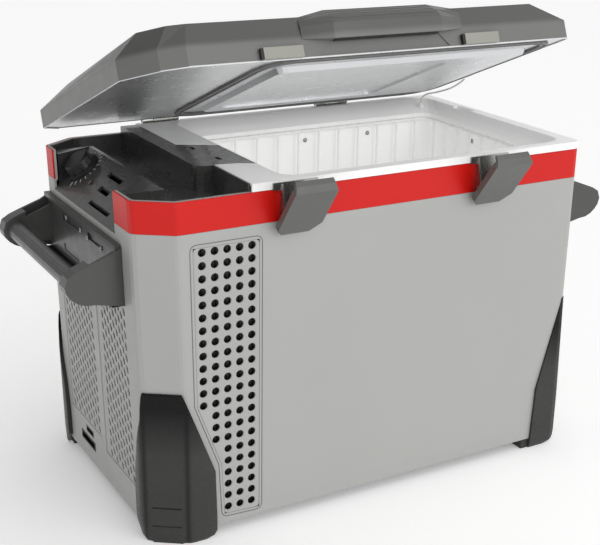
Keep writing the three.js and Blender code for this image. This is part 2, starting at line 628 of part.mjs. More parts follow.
const lidStayCord = () => pipe([[...STAY_ANCHOR, 443.3], [281, 141, 450], [283, 132, 458], [289, 112, 464.5],
  [298, 92, 473], [303.3, 78, 482.5], [303.8, 66, 490.7]], 1.3);

// ---------------------------------------------------------------- the lid, closed, about the hinge axis

const LID_BOTTOM_RING = [[-238, -LID_FRONT], [306, -LID_FRONT], [312, -341], [309, -45], [280, -3.4],
  [-288, -3.4], [-312, -18], [-304, -299], [-268, -336]];
const LID_TOP_RING = [[-232, -343], [256, -343], [262, -337], [258, -62], [238, -34], [-258, -34],
  [-280, -52], [-280, -314], [-254, -338]];

// One ring of the lid, drawn in towards its middle by an inset.
const lidRing = (ring, height, inset) =>
  ring.map(([x, y]) => [x - Math.sign(x) * inset, y - Math.sign(y + LID_FRONT / 2) * inset, height]);

const lidBlock = (inset, bottom, top) => loft([lidRing(LID_BOTTOM_RING, bottom, inset),
  lidRing(LID_BOTTOM_RING, SKIRT_HEIGHT - inset * 0.3, inset), lidRing(LID_TOP_RING, top, inset)]);

function lidCover() {
  const shell = cut(lidBlock(0, 0, LID_HEIGHT), lidBlock(WALL, -5, LID_HEIGHT - WALL));
  const recess = alongY([[-71, 2], [117, 2], [102, 19], [-54, 19]], [-LID_FRONT - 2, -LID_FRONT + 1.5]);
  const hingeSlots = [-1, 1].map((side) => {
    const x = side * HINGE_OFFSET;
    return join(box([x - 28, x + 28], [-6, 6], [-5, 5.5]), box([x - 26, x + 26], [-3, 6], [-5, 23]));
  });
  return cut(shell, recess, ...hingeSlots);
}

const lidFoam = () => cut(lidBlock(WALL + GAP, 3, LID_HEIGHT - WALL - GAP),
  ...[-1, 1].map((side) => box([side * HINGE_OFFSET - 29, side * HINGE_OFFSET + 29], [-8, 0], [0, 24])));

function lidInnerPanel() {
  const plate = loft([lidRing(LID_BOTTOM_RING, 0.6, WALL + GAP), lidRing(LID_BOTTOM_RING, 2.6, WALL + GAP)]);
  const middle = -LID_PIVOT.y;
  const pad = (left, right, half, depth) => loft([
    atHeight(roundedRectangle([left + 4, right - 4], [middle - half + 4, middle + half - 4], 12), -depth),
    atHeight(roundedRectangle([left, right], [middle - half, middle + half], 14), 1),
  ]);
  const plug = pad(TUB.left + 8, TUB.right - 8, TUB.half - 8, 6);
  const field = alongZ(roundedRectangle([-84, 164], [middle - 100, middle + 100], 12), [-10, -3]);
  const hingeSlots = [-1, 1].map((side) => {
    const x = side * HINGE_OFFSET;
    return box([x - 28, x + 28], [-8, 6], [-5, 6]);
  });
  return cut(join(plate, plug), field, ...hingeSlots);
}

const GASKET = { x: [-136.5, 301.3], y: [-342.5, -14], corner: 42, width: 11 };

function lidGasket() {
  const { x, y, corner, width } = GASKET;
  const ring = (inset, heights) => alongZ(roundedRectangle(
    [x[0] + inset, x[1] - inset], [y[0] + inset, y[1] - inset], corner - inset), heights);
  const channel = cut(ring(3.5, [-5, -1.5]), ring(width - 3.5, [-6, 0]));
  return cut(ring(0, [-2.6, 0.3]), ring(width, [-6, 2]), channel);
}

// The raised grip at the lid's front: an overhanging brow with sloping flanks.
function lidGrip() {
  const half = 77;
  const flank = 38;
  const middle = 24;
  const brow = [[-338, 18.5], [-359, 18.5], [-360, 37], [-352, 47], [-336, 57], [-300, 58], [-268, 48.5]];
  const flat = [[-338, 22], [-347.6, 22], [-347.3, 36], [-345, 44], [-337, 49.4], [-300, 49.5], [-268, 49.4]];
  const section = (x, points) => points.map(([y, z]) => [x, y, z]);
  const whole = loft([section(middle + half + flank, flat), section(middle + half, brow),
    section(middle - half, brow), section(middle - half - flank, flat)]);
  return cut(whole, lidBlock(-GAP, -2, LID_HEIGHT + GAP));
}

function lidStrike(x) {
  return box([x - 26, x + 26], [-LID_FRONT - 6, -LID_FRONT - 0.4], [1, 14.4]);
}

const lidStayClip = () => box([301.6, 305.4], [-138, -118.5], [-2.4, 0.3]);

// ---------------------------------------------------------------- the assembly

const COLOURS = {
  caseGrey: ["#b2b3b0", 0.5, 0.1],
  red: ["#d8362e", 0.45, 0],
  white: ["#e4e4e4", 0.4, 0],
  foam: ["#e6d9a8", 0.9, 0],
  aluminium: ["#c4c8cc", 0.35, 0.9],
  coatedWire: ["#f2f2f2", 0.35, 0.1],
  black: ["#3c3c3b", 0.55, 0],
  blackPaint: ["#1c1c1c", 0.4, 0.2],
  rubber: ["#222222", 0.85, 0],
  foot: ["#2b2b2b", 0.4, 0],
  handle: ["#4a4a48", 0.5, 0],
  lid: ["#636361", 0.45, 0],
  lidPanel: ["#a9aaac", 0.4, 0.1],
  latch: ["#5f605d", 0.5, 0],
  strike: ["#9c9b93", 0.5, 0],
  steel: ["#9a9a98", 0.3, 0.95],
  copper: ["#b87333", 0.35, 1],
  board: ["#2f6b3c", 0.6, 0],
  lens: ["#c83020", 0.2, 0],
};

function named(name, manifold, colour) {
  const [color, roughness, metalness] = COLOURS[colour];
  const material = new THREE.MeshStandardMaterial({ color, roughness, metalness, flatShading: true });
  const mesh = new THREE.Mesh(geometryOf(manifold), material);
  mesh.name = name;
  return mesh;
}

const fridge = new THREE.Group();
const standing = new THREE.Group(); // everything, in heights above the floor
const lid = new THREE.Group();
fridge.add(standing);
standing.add(lid);

standing.add(
  named("outer_case", outerCase(), "caseGrey"),
  named("base_pan", basePan(), "blackPaint"),
  named("red_trim_band", redTrimBand(), "red"),
  named("front_vent_grille", frontVentGrille(), "caseGrey"),
  named("side_vent_grille_front", sideVentGrille(SIDE_VENTS[0]), "caseGrey"),
  named("side_vent_grille_back", sideVentGrille(SIDE_VENTS[1]), "caseGrey"),
  named("inner_liner", innerLiner(), "white"),
  named("foam_insulation", foamInsulation(), "foam"),
  named("evaporator_sheet", evaporatorSheet(), "aluminium"),
  named("wire_basket", wireBasket(), "coatedWire"),
  named("tray_cover", trayCover(), "black"),
  named("control_housing", controlHousing(), "black"),
  named("temperature_knob", temperatureKnob(), "blackPaint"),
  named("indicator_lens", indicatorLens(), "lens"),
  named("control_board", controlBoard(), "board"),
  named("dc_inlet", inlet(DC_INLET), "blackPaint"),
  named("ac_inlet", inlet(AC_INLET), "blackPaint"),
  named("compressor", compressor(), "blackPaint"),
  named("condenser_coil", condenserCoil(), "aluminium"),
  named("fan_shroud", fanShroud(), "black"),
  named("fan_motor", fanMotor(), "blackPaint"),
  named("fan_blade", fanBlade(), "black"),
  named("filter_drier", filterDrier(), "copper"),
  named("discharge_pipe", dischargePipe(), "copper"),
  named("suction_pipe", suctionPipe(), "copper"),
  named("stay_anchor", stayAnchor(), "white"),
  named("lid_stay_cord", lidStayCord(), "white"),
);

for (const [xName, xSide] of [["left", -1], ["right", 1]]) {
  const latchX = LATCH_CENTRE_X + xSide * LATCH_OFFSET;
  const hingeX = xSide * HINGE_OFFSET;
  standing.add(
    named("handle_" + xName, handle(HANDLES[xName]), "handle"),
    named("handle_bar_" + xName, handleBar(HANDLES[xName]), "handle"),
    named("latch_bracket_" + xName, latchBracket(latchX), "steel"),
    named("latch_pin_" + xName, latchPin(latchX), "steel"),
    named("latch_paddle_" + xName, latchPaddle(latchX), "latch"),
    named("hinge_body_leaf_" + xName, hingeBodyLeaf(hingeX), "steel"),
    named("hinge_pin_" + xName, hingePin(hingeX), "steel"),
  );
  lid.add(
    named("hinge_lid_leaf_" + xName, hingeLidLeaf(hingeX), "steel"),
    named("lid_strike_" + xName, lidStrike(latchX), "strike"),
  );
  for (const [yName, ySide] of [["front", -1], ["back", 1]]) {
    const shape = foot(xSide < 0 ? LEFT_FOOT : RIGHT_FOOT, xSide, ySide);
    standing.add(
      named("foot_" + yName + "_" + xName, shape, "foot"),
      named("compressor_mount_" + yName + "_" + xName, compressorMount(xSide, ySide), "rubber"),
    );
  }
}

lid.add(
  named("lid_cover", lidCover(), "lid"),
  named("lid_foam", lidFoam(), "foam"),
  named("lid_inner_panel", lidInnerPanel(), "lidPanel"),
  named("lid_gasket", lidGasket(), "rubber"),
  named("lid_grip", lidGrip(), "lid"),
  named("lid_stay_clip", lidStayClip(), "white"),
);
lid.position.set(0, LID_PIVOT.y, LID_PIVOT.z);
lid.rotation.x = THREE.MathUtils.degToRad(-LID_OPEN);

// The whole stands on the origin, centred.
fridge.updateMatrixWorld(true);
const bounds = new THREE.Box3().setFromObject(fridge, true);
const centre = bounds.getCenter(new THREE.Vector3());
standing.position.set(-centre.x, -centre.y, -bounds.min.z);

export default fridge;
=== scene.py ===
"""Looks of the compressor fridge: materials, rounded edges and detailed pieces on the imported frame.

Lengths are millimetres in the case's or the lid's own axes unless a comment says metres.
"""
import json
import math

import bmesh
import bpy
from mathutils import Matrix, Vector

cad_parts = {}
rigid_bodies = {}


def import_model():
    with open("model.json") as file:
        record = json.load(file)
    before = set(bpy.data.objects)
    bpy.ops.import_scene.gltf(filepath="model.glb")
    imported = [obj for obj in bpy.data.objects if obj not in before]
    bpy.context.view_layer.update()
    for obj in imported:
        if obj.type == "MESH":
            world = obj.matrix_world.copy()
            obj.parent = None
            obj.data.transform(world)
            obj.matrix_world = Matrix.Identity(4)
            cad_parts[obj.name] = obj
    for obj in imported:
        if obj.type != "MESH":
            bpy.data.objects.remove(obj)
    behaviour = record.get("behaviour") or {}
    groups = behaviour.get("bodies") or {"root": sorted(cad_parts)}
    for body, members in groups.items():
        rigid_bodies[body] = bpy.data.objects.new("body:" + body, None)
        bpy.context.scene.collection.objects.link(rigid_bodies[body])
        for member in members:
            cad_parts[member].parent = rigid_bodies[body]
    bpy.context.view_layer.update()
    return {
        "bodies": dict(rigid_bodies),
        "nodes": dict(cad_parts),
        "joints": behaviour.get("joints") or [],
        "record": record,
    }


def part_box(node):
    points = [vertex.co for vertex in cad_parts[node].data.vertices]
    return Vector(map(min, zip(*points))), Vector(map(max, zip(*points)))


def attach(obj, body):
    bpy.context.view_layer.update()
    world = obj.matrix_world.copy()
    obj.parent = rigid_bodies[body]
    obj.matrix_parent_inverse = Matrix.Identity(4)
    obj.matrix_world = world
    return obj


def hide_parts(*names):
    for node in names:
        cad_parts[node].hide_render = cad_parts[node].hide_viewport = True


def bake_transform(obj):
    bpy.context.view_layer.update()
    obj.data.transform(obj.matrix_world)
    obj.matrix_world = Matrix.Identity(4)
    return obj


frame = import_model()
nodes = frame["nodes"]

# ------------------------------------------------------------------ places

MILLIMETRE = 0.001  # metres
RIGHT_END = 318.5  # the upright end wall
LEFT_END = 316  # the compressor end's wall, at the rim
RIM_HEIGHT = 447
END_TAPER = 12 / 433  # how far the compressor end leans in for each millimetre down
HALF_DEPTH = 177
CUT_CORNER = math.atan2(30, 44)  # the angle of the compressor end's cut corners
HINGE = Vector((0, HALF_DEPTH, 450))
LID_OPEN = math.radians(22)

case_low, case_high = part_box("outer_case")
SHIFT = Vector((case_high.x * 1000 - RIGHT_END, (case_low.y + case_high.y) * 500, 0))
IN_CASE = Matrix.Scale(MILLIMETRE, 4) @ Matrix.Translation(SHIFT)
IN_LID = IN_CASE @ Matrix.Translation(HINGE) @ Matrix.Rotation(-LID_OPEN, 4, "X")


def left_wall(z):
    """The compressor end wall's x at one height."""
    return -(LEFT_END - END_TAPER * (RIM_HEIGHT - z))


# ------------------------------------------------------------------ how a material is made


def linear(code):
    """A linear colour from a hex code."""
    parts = [int(code[i:i + 2], 16) / 255 for i in (0, 2, 4)]
    return [p / 12.92 if p <= 0.04045 else ((p + 0.055) / 1.055) ** 2.4 for p in parts] + [1]


class Nodes:
    """A small builder for one material's node tree."""

    def __init__(self, name):
        self.material = bpy.data.materials.new(name)
        self.material.use_nodes = True
        self.tree = self.material.node_tree
        self.shader = self.tree.nodes["Principled BSDF"]
        self.place = self.add("ShaderNodeTexCoord").outputs["Object"]

    def add(self, kind, **values):
        node = self.tree.nodes.new(kind)
        for key, value in values.items():
            setattr(node, key, value)
        return node

    def link(self, source, target):
        self.tree.links.new(source, target)

    def set(self, **values):
        """Sets the shader's own sockets, with _ for a space in a socket's name."""
        for name, value in values.items():
            self.shader.inputs[name.replace("_", " ")].default_value = value

    def coordinates(self):
        """The object's x, y and z, in metres."""
        split = self.add("ShaderNodeSeparateXYZ")
        self.link(self.place, split.inputs["Vector"])
        return split.outputs["X"], split.outputs["Y"], split.outputs["Z"]

    def noise(self, scale, detail=3.0, roughness=0.5, stretch=None):
        node = self.add("ShaderNodeTexNoise")
        node.inputs["Scale"].default_value = scale
        node.inputs["Detail"].default_value = detail
        node.inputs["Roughness"].default_value = roughness
        source = self.place
        if stretch:
            mapping = self.add("ShaderNodeMapping")
            mapping.inputs["Scale"].default_value = stretch
            self.link(source, mapping.inputs["Vector"])
            source = mapping.outputs["Vector"]
        self.link(source, node.inputs["Vector"])
        return node.outputs["Fac"]

    def remap(self, source, low, high, out_low, out_high):
        node = self.add("ShaderNodeMapRange")
        node.inputs["From Min"].default_value = low
        node.inputs["From Max"].default_value = high
        node.inputs["To Min"].default_value = out_low
        node.inputs["To Max"].default_value = out_high
        self.link(source, node.inputs["Value"])
        return node.outputs["Result"]

    def calculate(self, operation, source, value=None):
        """One sum on a socket, with a second value where it takes one."""
        node = self.add("ShaderNodeMath", operation=operation)
        self.link(source, node.inputs[0])
        if value is not None:
            node.inputs[1].default_value = value
        return node.outputs["Value"]

    def dot(self, source, direction):
        node = self.add("ShaderNodeVectorMath", operation="DOT_PRODUCT")
        self.link(source, node.inputs[0])
        node.inputs[1].default_value = direction
        return node.outputs["Value"]

    def mix(self, factor, first, second):
        node = self.add("ShaderNodeMix", data_type="RGBA")
        self.link(factor, node.inputs[0])
        for value, socket in ((first, node.inputs[6]), (second, node.inputs[7])):
            if hasattr(value, "is_output"):
                self.link(value, socket)
            else:
                socket.default_value = value
        return node.outputs[2]

    def deepen(self, amount, colour):
        """Mixes a deeper colour into the base colour."""
        source = self.shader.inputs["Base Color"].links[0].from_socket
        self.link(self.mix(amount, source, colour), self.shader.inputs["Base Color"])

    def bump(self, height, strength, distance):
        node = self.add("ShaderNodeBump")
        node.inputs["Strength"].default_value = strength
        node.inputs["Distance"].default_value = distance
        self.link(height, node.inputs["Height"])
        return node.outputs["Normal"]


def surface(name, colour, rough, grain=900, depth=0.00005, vary=0.05, metal=0.0, coat=0.0,
            specular=0.5, streak=None, patches=14):
    """A moulded or coated surface: slight colour patches, uneven gloss and a fine surface grain.

    grain and patches are noise scales, and depth is the grain's height in metres."""
    n = Nodes(name)
    gloss_spread = 0.05
    base = linear(colour)[:3]
    dark = [c * (1 - vary) for c in base] + [1]
    light = [min(1, c * (1 + vary)) for c in base] + [1]
    mottle = n.remap(n.noise(patches, 4, 0.6, streak), 0.3, 0.7, 0, 1)
    n.link(n.mix(mottle, dark, light), n.shader.inputs["Base Color"])
    gloss = n.remap(n.noise(patches * 5, 3, 0.6, streak), 0.3, 0.7,
                    rough - gloss_spread, rough + gloss_spread)
    n.link(gloss, n.shader.inputs["Roughness"])
    n.link(n.bump(n.noise(grain, 2, 0.5, streak), 0.6, depth), n.shader.inputs["Normal"])
    n.set(Metallic=metal, Coat_Weight=coat, Coat_Roughness=0.12, Specular_IOR_Level=specular)
    return n


# colours mixed into a surface's colour for painted shade
SHADE_BLACK = (0.002, 0.002, 0.002, 1)
LID_SHADOW = (0.05, 0.05, 0.048, 1)


def painted_shade_upwards(n, low, high, share):
    """Painted shade: deepens a material's colour from one height to another, in metres."""
    height = n.coordinates()[2]
    n.deepen(n.remap(height, low, high, 0, share), SHADE_BLACK)


def crease_shade(n, middle, half_width, spread, strength):
    """Soft dark lines down both edges of a cut corner, the same at front and back, in metres."""
    x, y, _ = n.coordinates()
    from_centre = n.calculate("ABSOLUTE", n.calculate("SUBTRACT", y, SHIFT.y * MILLIMETRE))
    plan = n.add("ShaderNodeCombineXYZ")
    n.link(x, plan.inputs["X"])
    n.link(from_centre, plan.inputs["Y"])
    along = Vector((math.cos(CUT_CORNER), math.sin(CUT_CORNER), 0))
    offset = n.calculate("SUBTRACT", n.dot(plan.outputs["Vector"], along), along.dot(middle))
    from_edge = n.calculate("SUBTRACT", n.calculate("ABSOLUTE", offset), half_width)
    n.deepen(n.remap(n.calculate("ABSOLUTE", from_edge), 0, spread, strength, 0), SHADE_BLACK)


def painted_light_glow(n, low, high, strength, least):
    """Painted light: white plastic gives off a faint light, less from one height to another."""
    height = n.coordinates()[2]
    n.set(Emission_Color=(1, 1, 1, 1))
    painted_glow = n.remap(height, low, high, strength, least)
    n.link(painted_glow, n.shader.inputs["Emission Strength"])


def shade_top(n, low, high, share):
    """Deepens the lid's colour above its skirt, measured in metres square to the lid."""
    normal = (IN_LID.to_3x3() @ Vector((0, 0, 1))).normalized()
    hinge_level = normal.dot(IN_LID.translation)
    amount = n.remap(n.dot(n.place, normal), hinge_level + low, hinge_level + high, 0, share)
    n.deepen(amount, LID_SHADOW)


# ------------------------------------------------------------------ the materials

PAINT = surface("case_grey_coating", "A9AAA7", 0.42, grain=1100, vary=0.02, patches=5)
SEAM = surface("case_seam_shadow", "6E6F6D", 0.5, grain=1100, depth=0.00004, vary=0.04)
BASE = surface("base_black_coating", "1B1B1B", 0.5)
RED = surface("band_red_gloss", "CE140D", 0.34, grain=700, depth=0.00002, vary=0.03,
              specular=0.3, patches=5)
WHITE = surface("liner_white", "FAFAF9", 0.34, grain=500, depth=0.00004, vary=0.02, patches=9)
RIM = surface("rim_white", "FBFBFA", 0.36, grain=500, depth=0.00004, vary=0.02, patches=9)
FOAM = surface("insulation_foam", "D9CC96", 0.9, grain=1500, depth=0.0003, vary=0.12, patches=60)
ALUMINIUM = surface("rolled_aluminium", "C4C8CC", 0.33, metal=0.95, streak=(1, 1, 12))
WIRE = surface("coated_wire", "F4F4F2", 0.28, depth=0.00003, vary=0.02, coat=0.2)
BLACK = surface("bay_dark_plastic", "3E3E3D", 0.3, grain=1400, coat=0.6)
BLACKER = surface("moulded_black", "141414", 0.42, grain=1400, depth=0.0001)
LENS = surface("lamp_lens", "3C1411", 0.12, grain=300, depth=0.00001, coat=0.6)
BOARD = surface("board_laminate", "2A5D36", 0.5, grain=700, vary=0.15, patches=120)
ENAMEL = surface("black_enamel", "131313", 0.3, grain=500, coat=0.2)
GASKET = surface("gasket_grey", "6A6A69", 0.45, grain=1200)
RUBBER = surface("soft_rubber", "202020", 0.72, grain=1200, depth=0.0001)
COPPER = surface("drawn_copper", "B5744A", 0.32, metal=1.0, vary=0.15, patches=40)
FOOT = surface("foot_gloss_black", "3C3C3B", 0.28, grain=1200, depth=0.00004, vary=0.06,
               specular=0.18)
HANDLE = surface("handle_dark_grey", "434342", 0.36, grain=1500, depth=0.00006, coat=0.15)
LID = surface("lid_dark_grey", "6B6B69", 0.36, grain=1300, depth=0.00007, vary=0.04, coat=0.1)
PANEL = surface("lid_silver_panel", "D6D7D9", 0.3, grain=300, depth=0.00002, metal=0.75,
                vary=0.04, patches=7)
EDGE = surface("lid_edge_silver", "DCDDDE", 0.3, grain=600, depth=0.00002, metal=0.2, vary=0.03)
MARK = surface("panel_mark_white", "D6D6D2", 0.5, vary=0.04)
LATCH = surface("latch_grey", "5C5D5A", 0.4, grain=1500, depth=0.00008, vary=0.04)
STRIKE = surface("strike_warm_grey", "96958D", 0.42, grain=1300, depth=0.00008)
STEEL = surface("plated_steel", "A9A9A6", 0.28, metal=1.0, grain=1200, vary=0.08, streak=(8, 1, 1))
CORD = surface("braided_cord", "D8D8D4", 0.7, grain=2600, depth=0.0003, vary=0.1)

crease_shade(FOOT, Vector(((SHIFT.x - 287) * MILLIMETRE, 0.1665, 0)), 0.0265, 0.005, 0.7)
# painted shade: the foot's upper part darker, as its gloss reflects little light there
painted_shade_upwards(FOOT, 0.12, 0.18, 0.95)
# painted shade: the liner's rim darker towards its top, under the open lid
painted_shade_upwards(RIM, 0.43, 0.44, 0.1)
# painted light: the liner and the basket wires give off a faint light, most inside the tub
painted_light_glow(RIM, 0.41, 0.445, 0.13, 0.05)
painted_light_glow(WIRE, 0.41, 0.445, 0.12, 0)
shade_top(LID, 0.021, 0.028, 0.72)

# ------------------------------------------------------------------ the CAD nodes

ENDS = ("left", "right")
CORNERS = [f"{depth}_{end}" for depth in ("front", "back") for end in ENDS]
STEEL_KINDS = ("latch_bracket", "latch_pin", "hinge_body_leaf", "hinge_pin", "hinge_lid_leaf")
LOOKS = {
    PAINT: ["outer_case", "front_vent_grille", "side_vent_grille_front", "side_vent_grille_back"],
    BASE: ["base_pan"],
    RED: ["red_trim_band"],
    WHITE: ["stay_anchor", "lid_stay_clip"],
    RIM: ["inner_liner"],
    FOAM: ["foam_insulation", "lid_foam"],
    ALUMINIUM: ["evaporator_sheet", "condenser_coil"],
    WIRE: ["wire_basket"],
    BLACK: ["tray_cover", "control_housing", "fan_shroud", "fan_blade"],
    BLACKER: ["dc_inlet", "ac_inlet", "temperature_knob"],
    LENS: ["indicator_lens"],
    BOARD: ["control_board"],
    ENAMEL: ["compressor", "fan_motor"],
    GASKET: ["lid_gasket"],
    RUBBER: [f"compressor_mount_{corner}" for corner in CORNERS],
    COPPER: ["filter_drier", "discharge_pipe", "suction_pipe"],
    FOOT: [f"foot_{corner}" for corner in CORNERS],
    HANDLE: [f"{kind}_{end}" for kind in ("handle", "handle_bar") for end in ENDS],
    LID: ["lid_cover", "lid_grip"],
    PANEL: ["lid_inner_panel"],
    LATCH: [f"latch_paddle_{end}" for end in ENDS],
    STRIKE: [f"lid_strike_{end}" for end in ENDS],
    STEEL: [f"{kind}_{end}" for kind in STEEL_KINDS for end in ENDS],
    CORD: ["lid_stay_cord"],
}

PLAIN_BEVEL = 0.4
BEVELS = {
    "outer_case": 1.2, "red_trim_band": 0.5, "inner_liner": 1.2, "tray_cover": 2.2,
    "control_housing": 1.4, "lid_cover": 3.0, "lid_grip": 3.0, "lid_inner_panel": 1.0,
    "lid_gasket": 0.8, "front_vent_grille": 0.3,
    **{f"handle_{end}": 2.4 for end in ENDS},
    **{f"latch_paddle_{end}": 1.2 for end in ENDS},
    **{f"lid_strike_{end}": 1.0 for end in ENDS},
    **{f"foot_{corner}": 2.0 for corner in CORNERS},
}


def dress(obj, look, bevel):
    """Gives a CAD node's shape its material and rounded edges."""
    obj.data.materials.clear()
    obj.data.materials.append(look.material)
    obj.data.shade_smooth()
    flat = obj.modifiers.new("flat_faces", "DECIMATE")
    flat.decimate_type = "DISSOLVE"
    flat.angle_limit = math.radians(0.6)
    edges = obj.modifiers.new("rounded_edges", "BEVEL")
    edges.width = bevel * MILLIMETRE
    edges.segments = 2 if bevel < 2 else 3
    edges.limit_method = "ANGLE"
    edges.angle_limit = math.radians(28)
    edges.harden_normals = True
    edges.use_clamp_overlap = True


for look, names in LOOKS.items():
    for name in names:
        dress(nodes[name], look, BEVELS.get(name, PLAIN_BEVEL))

# ------------------------------------------------------------------ how a piece is made


def add_object(name, mesh):
    piece = bpy.data.objects.new(name, mesh)
    bpy.context.scene.collection.objects.link(piece)
    return piece


def new_piece(name, mesh, look, body, smooth=True):
    """A finished mesh as a piece that rides on a body."""
    piece = add_object(name, mesh)
    mesh.materials.clear()
    mesh.materials.append(look.material)
    if smooth:
        mesh.shade_smooth()
    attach(piece, body)
    return piece


def curve_mesh(name, curve):
    """The mesh that a curve makes."""
    holder = add_object(name + "_curve", curve)
    bpy.context.view_layer.update()
    graph = bpy.context.evaluated_depsgraph_get()
    mesh = bpy.data.meshes.new_from_object(holder.evaluated_get(graph))
    mesh.name = name
    bpy.data.objects.remove(holder)
    bpy.data.curves.remove(curve)
    return mesh


def spline(curve, points, closed=False):
    line = curve.splines.new("POLY")
    line.points.add(len(points) - 1)
    for point, place in zip(line.points, points):
        point.co = (*place, 1)
    line.use_cyclic_u = closed


def tubes(name, lines, radius, frame, resolution=2, closed=False):
    """Round wires along lines of points, in millimetres of a frame."""
    curve = bpy.data.curves.new(name, "CURVE")
    curve.dimensions = "3D"
    curve.bevel_depth = radius
    curve.bevel_resolution = resolution
    curve.use_fill_caps = True
    for points in lines:
        spline(curve, points, closed)
    mesh = curve_mesh(name, curve)
    mesh.transform(frame)
    return mesh


def perforated(name, outline, holes, bevel, place):
    """A plate with rounded holes. place turns (across, up, out) in millimetres into metres."""
    thickness = 2.0
    curve = bpy.data.curves.new(name, "CURVE")
    curve.dimensions = "2D"
    curve.fill_mode = "BOTH"
    curve.extrude = thickness / 2 - bevel
    curve.bevel_depth = bevel
    curve.bevel_resolution = 1
    for points in [outline] + holes:
        spline(curve, [(a, b, 0) for a, b in points], True)
    mesh = curve_mesh(name, curve)
    for vertex in mesh.vertices:
        vertex.co = place(*vertex.co)
    loose = bmesh.new()
    loose.from_mesh(mesh)
    bmesh.ops.remove_doubles(loose, verts=loose.verts, dist=0.00001)
    bmesh.ops.recalc_face_normals(loose, faces=loose.faces)
    loose.to_mesh(mesh)
    loose.free()
    return mesh


def ring(x, y, radius, count, stretch=1.0, lean=0.0):
    """A closed round or oval outline, leaning sideways as it rises."""
    points = []
    for i in range(count):
        angle = 2 * math.pi * i / count
        up = radius * stretch * math.sin(angle)
        points.append((x + radius * math.cos(angle) + lean * up, y + up))
    return points


def rounded_outline(corners, radius, count=4):
    """A closed outline with every corner rounded off."""
    points = []
    for i, corner in enumerate(corners):
        corner = Vector(corner)
        back = (Vector(corners[i - 1]) - corner).normalized()
        on = (Vector(corners[(i + 1) % len(corners)]) - corner).normalized()
        reach = radius / math.tan(back.angle(on) / 2)
        start, end = corner + back * reach, corner + on * reach
        for k in range(count + 1):
            t = k / count
            point = (1 - t) ** 2 * start + 2 * t * (1 - t) * corner + t * t * end
            points.append(point.to_tuple())
    return points


def spread(low, high, count):
    """Evenly spaced places from low to high."""
    return [low + (high - low) * i / (count - 1) for i in range(count)]


def slab(x, y, z, frame):
    """A box in a bmesh, as the start of a shaped piece."""
    mesh = bmesh.new()
    size = Matrix.Diagonal((x[1] - x[0], y[1] - y[0], z[1] - z[0], 1))
    middle = Matrix.Translation((sum(x) / 2, sum(y) / 2, sum(z) / 2))
    bmesh.ops.create_cube(mesh, size=1, matrix=frame @ middle @ size)
    return mesh


def as_mesh(name, work):
    mesh = bpy.data.meshes.new(name)
    bmesh.ops.recalc_face_normals(work, faces=work.faces)
    work.to_mesh(mesh)
    work.free()
    return mesh


def joined(name, works):
    """Several bmeshes as one mesh."""
    whole = bmesh.new()
    for work in works:
        part = bpy.data.meshes.new("part")
        work.to_mesh(part)
        work.free()
        whole.from_mesh(part)
        bpy.data.meshes.remove(part)
    return as_mesh(name, whole)


def turned(profile, count):
    """A bmesh turned from (radius, height) points about +Z."""
    work = bmesh.new()
    rings = []
    for radius, height in profile:
        steps = count if radius else 1
        angles = [2 * math.pi * i / count for i in range(steps)]
        rings.append([work.verts.new((radius * math.cos(a), radius * math.sin(a), height))
                      for a in angles])
    for low, high in zip(rings, rings[1:]):
        for i in range(count):
            j = (i + 1) % count
            corners = [low[i % len(low)], low[j % len(low)],
                       high[j % len(high)], high[i % len(high)]]
            corners = [v for k, v in enumerate(corners) if v not in corners[:k]]
            if len(corners) > 2:
                work.faces.new(corners)
    return work


def cut_out(piece, name, cutter):
    """Takes one cutter's shape out of a piece."""
    tool_mesh = as_mesh(name, cutter)
    tool = add_object(name, tool_mesh)
    step = piece.modifiers.new("cut", "BOOLEAN")
    step.operation = "DIFFERENCE"
    step.solver = "EXACT"
    step.object = tool
    bpy.context.view_layer.update()
    graph = bpy.context.evaluated_depsgraph_get()
    done = bpy.data.meshes.new_from_object(piece.evaluated_get(graph))
    piece.modifiers.clear()
    piece.data = done
    bpy.data.objects.remove(tool)
    bpy.data.meshes.remove(tool_mesh)


def carved(name, node, cutters, look, body, bevel):
    """A CAD node's shape with finer details cut into it, standing for that node."""
    mesh = nodes[node].data.copy()
    piece = add_object(name, mesh)
    for k, cutter in enumerate(cutters):
        cut_out(piece, f"{name}_tool_{k}", cutter)
    bpy.data.meshes.remove(mesh)
    piece.data.name = name
    dress(piece, look, bevel)
    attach(piece, body)
    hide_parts(node)


def shadow_block(name, x, y, z, frame, body, softness=0.3, steps=1):
    """A black block with softened edges, a painted shadow."""
    work = slab(x, y, z, frame)
    bmesh.ops.bevel(work, geom=work.edges[:], offset=softness * MILLIMETRE, segments=steps,
                    affect="EDGES")
    new_piece(name, as_mesh(name, work), BLACKER, body, smooth=False)


SCREW_PROFILE = [(0, 0.55), (0.5, 0.5), (0.9, 0.3), (1, 0), (0, 0)]  # in radii


def screw(name, place, facing, radius):
    """A domed screw or bolt head."""
    head = turned([(radius * r, radius * h) for r, h in SCREW_PROFILE], 20)
    turn = Vector((0, 0, 1)).rotation_difference(Vector(facing)).to_matrix().to_4x4()
    head.transform(IN_CASE @ Matrix.Translation(place) @ turn)
    new_piece(name, as_mesh(name, head), STEEL, "case")


# ------------------------------------------------------------------ vents


def front_vents():
    """The front grille: five columns of round holes, cut short above the foot."""
    corners = [(-251, 379.2), (-248, 181.2), (-216.8, 97.2), (-212.8, 27.5),
               (-165.9, 25.4), (-166.8, 379.2)]
    left, top, pitch = -240.3, 373.7, 16.07
    holes = [ring(left + column * pitch, top - row * pitch, 5.5, 20)
             for column, rows in enumerate((13, 16, 22, 22, 22)) for row in range(rows)]
    mesh = perforated("front_vent_plate", rounded_outline(corners, 5), holes, 0.5,
                      lambda a, b, out: IN_CASE @ Vector((a, 1.1 - HALF_DEPTH - out, b)))
    piece = new_piece("front_vent_plate", mesh, PAINT, "case")
    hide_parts("front_vent_grille")


